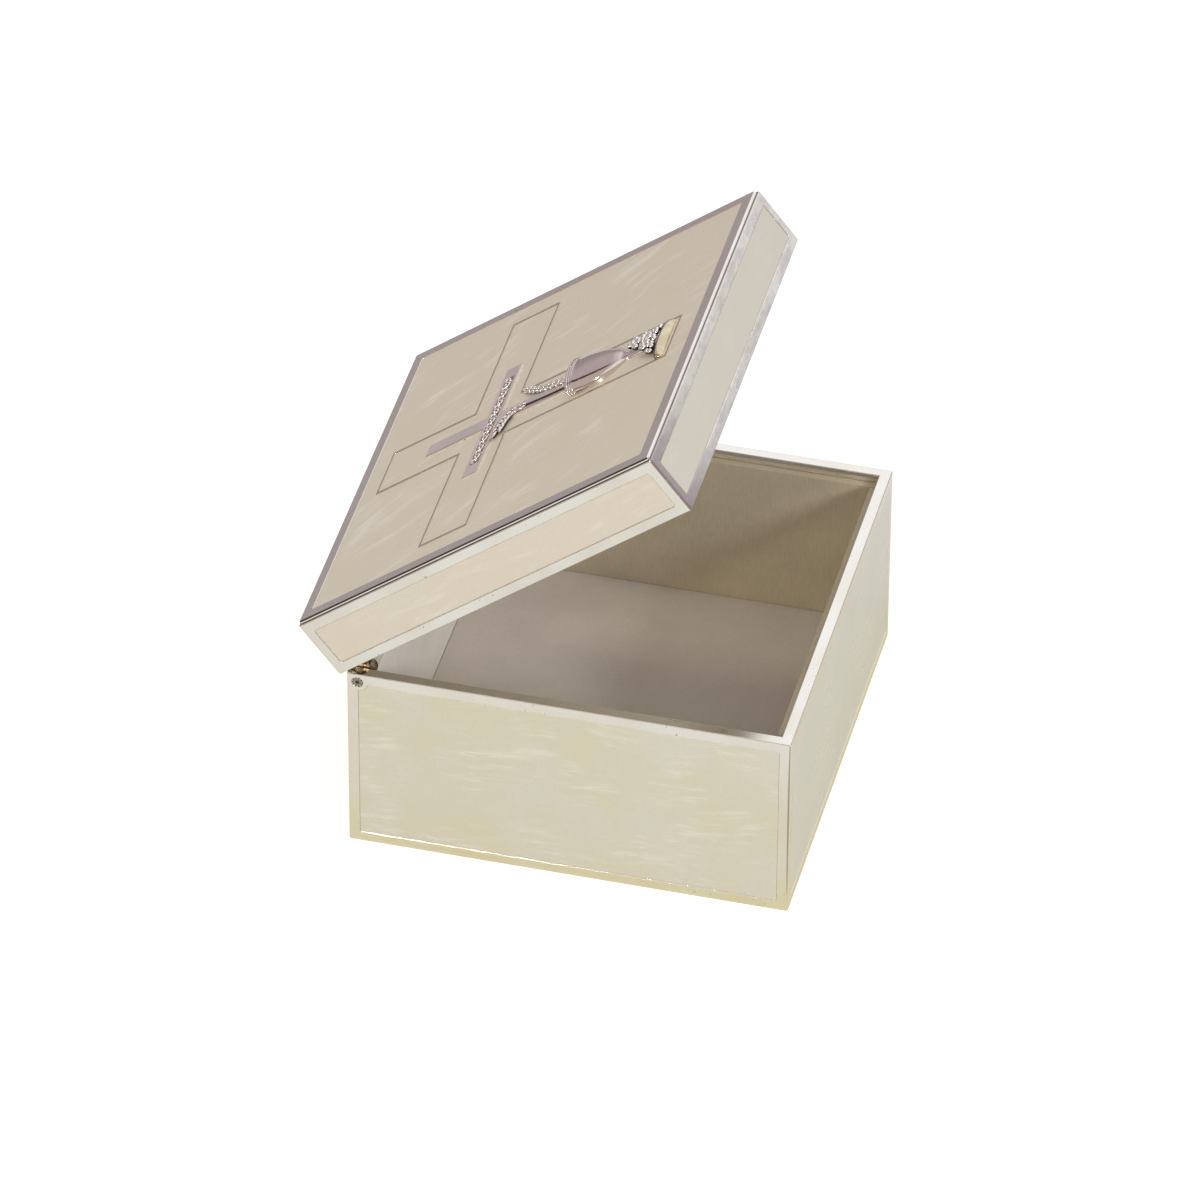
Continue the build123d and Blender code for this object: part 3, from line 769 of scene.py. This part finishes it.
scroll = []
for turn in range(scroll_turns):
    x = (turn - (scroll_turns - 1) / 2) * 2 * scroll_turn
    upward = 1 if turn % 2 == 0 else -1
    facing = Matrix.Rotation(0 if upward > 0 else math.pi, 4, "Z")
    spot = Matrix.Translation((x, arm_y - upward * 0.05 * mm, scroll_top))
    scroll.append(copy_of(turn_piece, spot @ facing))
    scroll.append(copy_of(berry, Matrix.Translation((x, arm_y - upward * berry_r, scroll_top))))
    spot = Matrix.Translation((x + scroll_turn, arm_y + upward * 0.86 * mm, scroll_top - 0.1 * mm))
    scroll.append(copy_of(berry, spot @ small_berry))
for spare in (turn_piece, berry):
    bpy.data.objects.remove(spare)
cross = join("small_cross", [cross] + scroll)
seat(cross, relief_seat)
finish_piece(cross, "lid", cross_silver, "cross_emblem")

# ------------------------------------------------------------ the chalice

upright = 0.26                  # share of a section's height that stands straight, under its rounded top
section_corners = 72


def drawn_relief(name, rows):
    """A relief drawn out section by section: (distance from the lid's back edge, half width, height)."""
    put_down()
    bpy.ops.mesh.primitive_circle_add(
        vertices=section_corners, radius=1, fill_type="NGON", rotation=(math.pi / 2, 0, 0))
    piece = name_piece(name)
    settle(piece)
    open_up(piece, "VERT")
    choose(piece, "VERT", lambda corner: corner.co.z < -0.001)
    bpy.ops.transform.resize(value=(1, 1, 0.0001), center_override=(0, 0, 0))
    choose(piece, "VERT", lambda corner: corner.co.z > -0.00001)
    bpy.ops.transform.resize(value=(1, 1, 1 - upright), center_override=(0, 0, 0))
    bpy.ops.transform.translate(value=(0, 0, upright))
    bpy.ops.mesh.select_all(action="SELECT")
    back, half, height = rows[0]
    bpy.ops.transform.resize(value=(half, 1, height), center_override=(0, 0, 0))
    bpy.ops.transform.translate(value=(0, lid_back_edge - back, 0))
    for next_back, next_half, next_height in rows[1:]:
        bpy.ops.mesh.extrude_region_move(TRANSFORM_OT_translate={"value": (0, back - next_back, 0)})
        bpy.ops.transform.resize(value=(next_half / half, 1, next_height / height),
                                 center_override=(0, lid_back_edge - next_back, 0))
        back, half, height = next_back, next_half, next_height
    put_down()
    return piece


def sections_through(rows, steps):
    """Sections at even steps along the smooth line through a few of them."""
    return [tuple(through(rows, step / steps)) for step in range(steps + 1)]


def in_mm(rows):
    return [tuple(number * mm for number in row) for row in rows]


# The sections, in mm, from the mouth to the front of the foot. Three rings run round the lip.
mouth = 57.2
lip_width, lip_height = 5.62, 3.32
lip_rows = [(mouth, 5.2, 3.0), (mouth, lip_width, lip_height)]
ring = ((0.0, 0.0), (0.07, 0.055), (0.2, 0.08), (0.33, 0.055), (0.4, 0.0))
for ring_start in (mouth + 0.02, mouth + 0.55, mouth + 1.08):
    lip_rows += [(ring_start + along, lip_width + 0.04 + out, lip_height + 0.04 + out) for along, out in ring]
bowl_sections = [
    (58.8, 5.64, 3.33), (61.2, 5.5, 3.12), (64.5, 4.75, 2.65), (67.2, 3.35, 2.0), (69.0, 1.95, 1.35),
]
neck_sections = [
    (69.5, 1.45, 1.1), (70.6, 1.0, 0.9), (72.0, 0.95, 0.9), (75.0, 1.5, 1.1), (78.4, 3.9, 1.45),
]
foot_rows = [
    (78.5, 5.7, 1.35), (78.62, 6.15, 1.48), (78.85, 6.25, 1.52), (79.05, 6.24, 1.46), (79.4, 6.2, 1.28),
    (79.8, 6.1, 0.98), (80.1, 5.95, 0.68), (80.3, 5.75, 0.45), (80.38, 5.6, 0.3),
]
bowl_rows = sections_through(bowl_sections, 18)
neck_rows = sections_through(neck_sections, 14)
chalice = drawn_relief("chalice_relief", in_mm(lip_rows + bowl_rows + neck_rows + foot_rows))

# The mouth is sunk into the lip's end.
lip_wall = 0.15 * mm
mouth_depth = 1.2 * mm
open_up(chalice, "FACE")
choose(chalice, "FACE", lambda face: len(face.verts) > 12
       and middle_of(face).y > lid_back_edge - (mouth + 0.8) * mm)
bpy.ops.mesh.inset(thickness=lip_wall, depth=0)
bpy.ops.mesh.extrude_region_move(TRANSFORM_OT_translate={"value": (0, -mouth_depth, 0)})
put_down()
face_outwards(chalice)
smooth(chalice, 35)
# The chalice has no hollows of its own and gets no painted shade: all of it counts as raised.
mark_raised(chalice, -20 * mm, -10 * mm)

# A twisted edge runs over the lip, bead by bead.
twist_long, twist_wide, twist_high = 0.46 * mm, 0.18 * mm, 0.22 * mm
twist_count = 27
twist_slant = Matrix.Rotation(math.radians(52), 4, "Z")
twist_foot, twist_rise = 0.87 * mm, 2.46 * mm
put_down()
bpy.ops.mesh.primitive_uv_sphere_add(
    segments=12, ring_count=8, radius=1, location=(0, 0, 0), rotation=(0, math.pi / 2, 0))
twist = name_piece("twist")
settle(twist)
bpy.ops.transform.resize(value=(twist_long, twist_wide, twist_high), center_override=(0, 0, 0))
settle(twist)
smooth(twist, 60)
mark_raised(twist, -twist_high, twist_high)
twists = []
for step in range(twist_count):
    turn = math.pi * (step + 0.5) / twist_count
    x, z = lip_width * mm * math.cos(turn), twist_foot + twist_rise * math.sin(turn)
    spot = Matrix.Translation((x, lid_back_edge - (mouth + 0.12) * mm, z))
    lie = Matrix.Rotation(math.pi / 2 - turn, 4, "Y") @ twist_slant
    twists.append(copy_of(twist, spot @ lie))
bpy.data.objects.remove(twist)
chalice = join("chalice_relief", [chalice] + twists)
seat(chalice, relief_seat @ Matrix.Translation((0, 0, -sink)))
finish_piece(chalice, "lid", chalice_silver, "chalice")

# ------------------------------------------------------------ grapes

grape_r = 0.66 * mm
put_down()
bpy.ops.mesh.primitive_uv_sphere_add(segments=20, ring_count=12, radius=grape_r, location=(0, 0, 0))
grape = name_piece("grape")
smooth(grape, 60)
mark_raised(grape, -grape_r, grape_r)
grapes = []
grape_step = 1.1
lowest_grape = 0.55 * mm
side_fall = 52                  # metres that the bunch falls away to its sides, for each square metre out
# Rows of grapes, in mm: distance from the lid's back edge, x of the first grape, how many, height of the row
bunch_rows = (
    (70.6, 1.9, 2, 1.20), (71.5, 1.2, 3, 1.30), (72.5, 0.4, 3, 1.40), (73.5, -0.6, 4, 1.45),
    (74.5, -1.5, 5, 1.50), (75.5, -2.4, 6, 1.55), (76.5, -3.1, 7, 1.60), (77.5, -3.9, 8, 1.55),
)
for row, (back, first_x, count, height) in enumerate(bunch_rows):
    for grape_number in range(count):
        x = (first_x + grape_step * grape_number) * mm
        z = height * mm - side_fall * x**2
        # Sines of odd steps set each grape a little out of line and out of size.
        swing = 0.15 * mm * math.sin(3.1 * grape_number + 1.7 * row)
        rise = 0.20 * mm * math.sin(5.3 * grape_number + 2.9 * row)
        swell = Matrix.Scale(0.95 + 0.13 * math.sin(7.7 * grape_number + 4.1 * row), 4)
        spot = Matrix.Translation((x + swing, lid_back_edge - back * mm - swing, max(z + rise, lowest_grape)))
        grapes.append(copy_of(grape, spot @ swell))
bpy.data.objects.remove(grape)
bunch = join("grape_bunch", grapes)
seat(bunch, relief_seat)
finish_piece(bunch, "lid", grain_silver, "grape_cluster")

# ------------------------------------------------------------ ears of wheat

stem_up = 0.55 * mm
stem_r = 0.18 * mm
grain_long, grain_thick = 0.90 * mm, 0.42 * mm
put_down()
bpy.ops.mesh.primitive_uv_sphere_add(
    segments=12, ring_count=8, radius=1, location=(0, 0, 0), rotation=(0, math.pi / 2, 0))
grain = name_piece("grain")
settle(grain)
open_up(grain, "VERT")
choose(grain, "VERT", lambda corner: corner.co.x > 0.95)
bpy.ops.transform.translate(value=(0.35, 0, 0))
bpy.ops.mesh.select_all(action="SELECT")
bpy.ops.transform.resize(value=(grain_long, grain_thick, grain_thick), center_override=(0, 0, 0))
put_down()
smooth(grain, 60)
mark_raised(grain, -0.66 * mm, grain_thick)


def heading_at(spine, share):
    """Which way a stem points at a share of its line, as a turn about the upright axis."""
    ahead_x, ahead_back = through(spine, min(share + 0.01, 1))
    behind_x, behind_back = through(spine, share - 0.01)
    return math.atan2(behind_back - ahead_back, ahead_x - behind_x)


# Stems from the chalice's mouth to the tip, in mm: (x, distance from the lid's back edge)
ears = {
    "left": [(-1.1, mouth), (-1.1, 51), (-0.7, 46), (-0.4, 42.6), (-1.9, 40.2), (-5.5, 38.7)],
    "right": [(1.6, mouth), (2, 53), (2.7, 48), (4, 45.2), (5.3, 43.1)],
}
head_start = {"left": 0.60, "right": 0.14}      # share of the stem below the first grains
grain_pairs = {"left": 7, "right": 9}
grain_swell = {"left": 1.3, "right": 1.0}
grain_lean = 33
crest_tilt = Matrix.Rotation(math.radians(-14), 4, "Y")
crest_lift = Matrix.Translation((0.3 * mm, 0, 0.30 * mm)) @ Matrix.Scale(0.72, 4)
for side, spine in ears.items():
    stalk_curve = bpy.data.curves.new(f"stalk_{side}", "CURVE")
    stalk_curve.dimensions = "3D"
    stalk_curve.bevel_depth = stem_r
    stalk_curve.bevel_resolution = 4
    stalk_curve.use_fill_caps = True
    line = stalk_curve.splines.new("NURBS")
    line.points.add(len(spine) - 1)
    for point, (x, back) in zip(line.points, spine):
        point.co = (x * mm, lid_back_edge - back * mm, stem_up, 1)
    line.use_endpoint_u = True
    line.order_u = 3
    stalk = bpy.data.objects.new(f"stalk_{side}", stalk_curve)
    bpy.context.scene.collection.objects.link(stalk)
    take_up(stalk)
    bpy.ops.object.convert(target="MESH")
    parts = [bpy.context.object]
    for pair in range(grain_pairs[side] + 1):
        share = evenly_through(spine, head_start[side] + (1 - head_start[side]) * pair / grain_pairs[side])
        x, back = through(spine, share)
        heading = heading_at(spine, share)
        middle = Matrix.Translation((x * mm, lid_back_edge - back * mm, stem_up))
        # Each pair leans outwards from the stem, and a single grain ends it.
        leans = (-grain_lean, grain_lean) if pair < grain_pairs[side] else (0,)
        for lean in leans:
            turn = Matrix.Rotation(heading + math.radians(lean), 4, "Z")
            outward = Matrix.Translation((0.8 * grain_swell[side] * mm, 0, 0))
            plump = Matrix.Diagonal((grain_swell[side], grain_swell[side], 1, 1))
            parts.append(copy_of(grain, middle @ turn @ outward @ plump))
        # A smaller grain rides on top.
        parts.append(copy_of(grain, middle @ Matrix.Rotation(heading, 4, "Z") @ crest_tilt @ crest_lift))
    ear = join(f"wheat_ear_{side}_relief", parts)
    smooth(ear, 50)
    seat(ear, relief_seat)
    finish_piece(ear, "lid", grain_silver, f"wheat_ear_{side}")
bpy.data.objects.remove(grain)

# ------------------------------------------------------------ floor, sky and lamps

white = (1, 1, 1, 1)
card_black = (0.03, 0.02, 0.02)


def floor_reflection(tree):
    """What polished metal sees of the floor: warm by the box, paler further out, with a dark card on it."""
    spot = add_node(tree, "ShaderNodeTexCoord").outputs["Object"]
    split = add_node(tree, "ShaderNodeSeparateXYZ", {"Vector": spot})
    across, ahead = split.outputs["X"], split.outputs["Y"]
    away = maths(tree, "MAXIMUM", maths(tree, "ABSOLUTE", across), maths(tree, "ABSOLUTE", ahead))
    tone = blend(tree, between(tree, away, 0.046, 0.064), (0.70, 0.625, 0.35), (0.755, 0.69, 0.56))
    tone = blend(tree, between(tree, away, 0.070, 0.105), tone, (0.84, 0.83, 0.785))
    # The card lies off the front left corner.
    card = band(tree, across, (-0.090, -0.080), (-0.0470, -0.0455))
    card = product(tree, card, between(tree, ahead, -0.050, -0.047, 1.0, 0.0))
    return blend(tree, product(tree, card, 0.85), tone, (0.10, 0.085, 0.06))


def pale_floor_finish():
    """A plain pale floor, lifted to white for the camera."""
    material = bpy.data.materials.new("pale_floor")
    material.use_nodes = True
    tree = material.node_tree
    tree.nodes.clear()
    rays = add_node(tree, "ShaderNodeLightPath").outputs
    diffuse = add_node(tree, "ShaderNodeBsdfDiffuse", {"Color": (0.8, 0.79, 0.77, 1)}).outputs[0]
    lift = product(tree, rays["Is Camera Ray"], 0.55)
    glow = add_node(tree, "ShaderNodeEmission", {"Color": white, "Strength": lift}).outputs[0]
    lifted = add_node(tree, "ShaderNodeAddShader", {0: diffuse, 1: glow}).outputs[0]
    mirrored = maths(tree, "MAXIMUM", rays["Is Glossy Ray"], rays["Is Transmission Ray"])
    reflection = {"Color": floor_reflection(tree), "Strength": 1.0}
    reflected = add_node(tree, "ShaderNodeEmission", reflection).outputs[0]
    mixed = {0: product(tree, mirrored, 0.7), 1: lifted, 2: reflected}
    floor_mix = add_node(tree, "ShaderNodeMixShader", mixed).outputs[0]
    add_node(tree, "ShaderNodeOutputMaterial", {"Surface": floor_mix})
    return material


def sky_reflection(tree):
    """What polished metal sees of the room: white overhead and a purple-grey wall round the horizon."""
    direction = add_node(tree, "ShaderNodeTexCoord").outputs["Generated"]
    split = add_node(tree, "ShaderNodeSeparateXYZ", {"Vector": direction})
    rightward, upward = split.outputs["X"], split.outputs["Z"]
    backward = maths(tree, "MAXIMUM", split.outputs["Y"], 0.0)
    leaning = maths(tree, "ADD", product(tree, upward, 0.6), product(tree, rightward, 0.6))
    leaning = maths(tree, "SUBTRACT", leaning, product(tree, backward, 0.5))
    wall = blend(tree, between(tree, upward, -0.02, 0.34), (0.37, 0.325, 0.325), (0.56, 0.48, 0.49))
    # Left of a dark upright card the wall is browner.
    past_card = maths(tree, "SUBTRACT", rightward, product(tree, backward, 0.18))
    wall = blend(tree, between(tree, past_card, -0.06, -0.02, 1.0, 0.0), wall, (0.61, 0.505, 0.44))
    tone = blend(tree, between(tree, leaning, 0.38, 0.54), wall, (0.98, 0.975, 0.97))
    card = between(tree, maths(tree, "ABSOLUTE", past_card), 0.06, 0.10, 1.0, 0.0)
    card = product(tree, card, between(tree, backward, 0.45, 0.6))
    tone = blend(tree, product(tree, card, 0.92), tone, card_black)
    overhead = product(tree, between(tree, upward, 0.66, 0.74), between(tree, backward, 0.24, 0.34, 1.0, 0.0))
    tone = blend(tree, overhead, tone, (1.0, 0.99, 0.97))
    tone = blend(tree, between(tree, upward, -0.42, -0.22, 1.0, 0.0), tone, (0.85, 0.84, 0.82))
    # A dark seam runs low along the left wall.
    seam = band(tree, upward, (-0.03, 0.0), (0.09, 0.13))
    seam = product(tree, seam, between(tree, rightward, -0.45, -0.25, 1.0, 0.0))
    return blend(tree, product(tree, seam, 0.92), tone, card_black)


def studio_sky():
    """Soft even light, white to the camera, with a room for the polished metal to show."""
    world = bpy.data.worlds.new("studio")
    world.use_nodes = True
    tree = world.node_tree
    tree.nodes.clear()
    rays = add_node(tree, "ShaderNodeLightPath").outputs
    reflection = {"Color": sky_reflection(tree), "Strength": 1.0}
    reflected = add_node(tree, "ShaderNodeBackground", reflection).outputs[0]
    even_light = {"Color": (1.0, 0.99, 0.975, 1), "Strength": 0.62}
    lit = add_node(tree, "ShaderNodeBackground", even_light).outputs[0]
    seen = add_node(tree, "ShaderNodeBackground", {"Color": white, "Strength": 1.0}).outputs[0]
    by_gloss = {0: rays["Is Glossy Ray"], 1: lit, 2: reflected}
    sky = add_node(tree, "ShaderNodeMixShader", by_gloss).outputs[0]
    by_camera = {0: rays["Is Camera Ray"], 1: sky, 2: seen}
    everything = add_node(tree, "ShaderNodeMixShader", by_camera).outputs[0]
    add_node(tree, "ShaderNodeOutputWorld", {"Surface": everything})
    return world


def soft_lamp(name, place, size, power, tint):
    """A round lamp at a place in the room, facing the box."""
    data = bpy.data.lights.new(name, "AREA")
    data.shape = "DISK"
    data.size = size
    data.energy = power
    data.color = tint
    lamp = bpy.data.objects.new(name, data)
    lamp.location = place
    lamp.rotation_euler = (-Vector(place)).to_track_quat("-Z", "Y").to_euler()
    bpy.context.scene.collection.objects.link(lamp)


floor_radius = 0.45
floor_drop = 0.02 * mm
put_down()
bpy.ops.mesh.primitive_circle_add(
    vertices=128, radius=floor_radius, fill_type="NGON", location=(0, 0, -floor_drop))
table_top = name_piece("pale_floor")
settle(table_top)
table_top.data.materials.append(pale_floor_finish())

bpy.context.scene.world = studio_sky()
soft_lamp("front_softbox", (-0.77, -0.96, 0.67), 0.25, 7.5, (0.975, 0.985, 1.0))
soft_lamp("side_softbox", (-1.18, 0.355, 0.71), 0.16, 5.0, (1.0, 0.94, 0.82))

# ------------------------------------------------------------ camera

azimuth = math.radians(-76.0548)
elevation = math.radians(38.9031)
roll = math.radians(0.3354)
distance = 1.90719
slide_right = -4.4456 * mm
slide_up = 27.1414 * mm

back = Vector((
    math.sin(azimuth) * math.cos(elevation),
    -math.cos(azimuth) * math.cos(elevation),
    math.sin(elevation),
))
level_right = Vector((0, 0, 1)).cross(back).normalized()
level_up = back.cross(level_right)
right = math.cos(roll) * level_right + math.sin(roll) * level_up
up = -math.sin(roll) * level_right + math.cos(roll) * level_up
camera_data = bpy.data.cameras.new("camera")
camera_data.sensor_width = 36
camera_data.lens = 285.766
camera_data.clip_end = 20
camera = bpy.data.objects.new("camera", camera_data)
stand = Matrix.Translation(back * distance + right * slide_right + up * slide_up)
camera.matrix_world = stand @ Matrix((right, up, back)).transposed().to_4x4()
bpy.context.scene.collection.objects.link(camera)
bpy.context.scene.camera = camera
bpy.context.scene.view_settings.view_transform = "Standard"
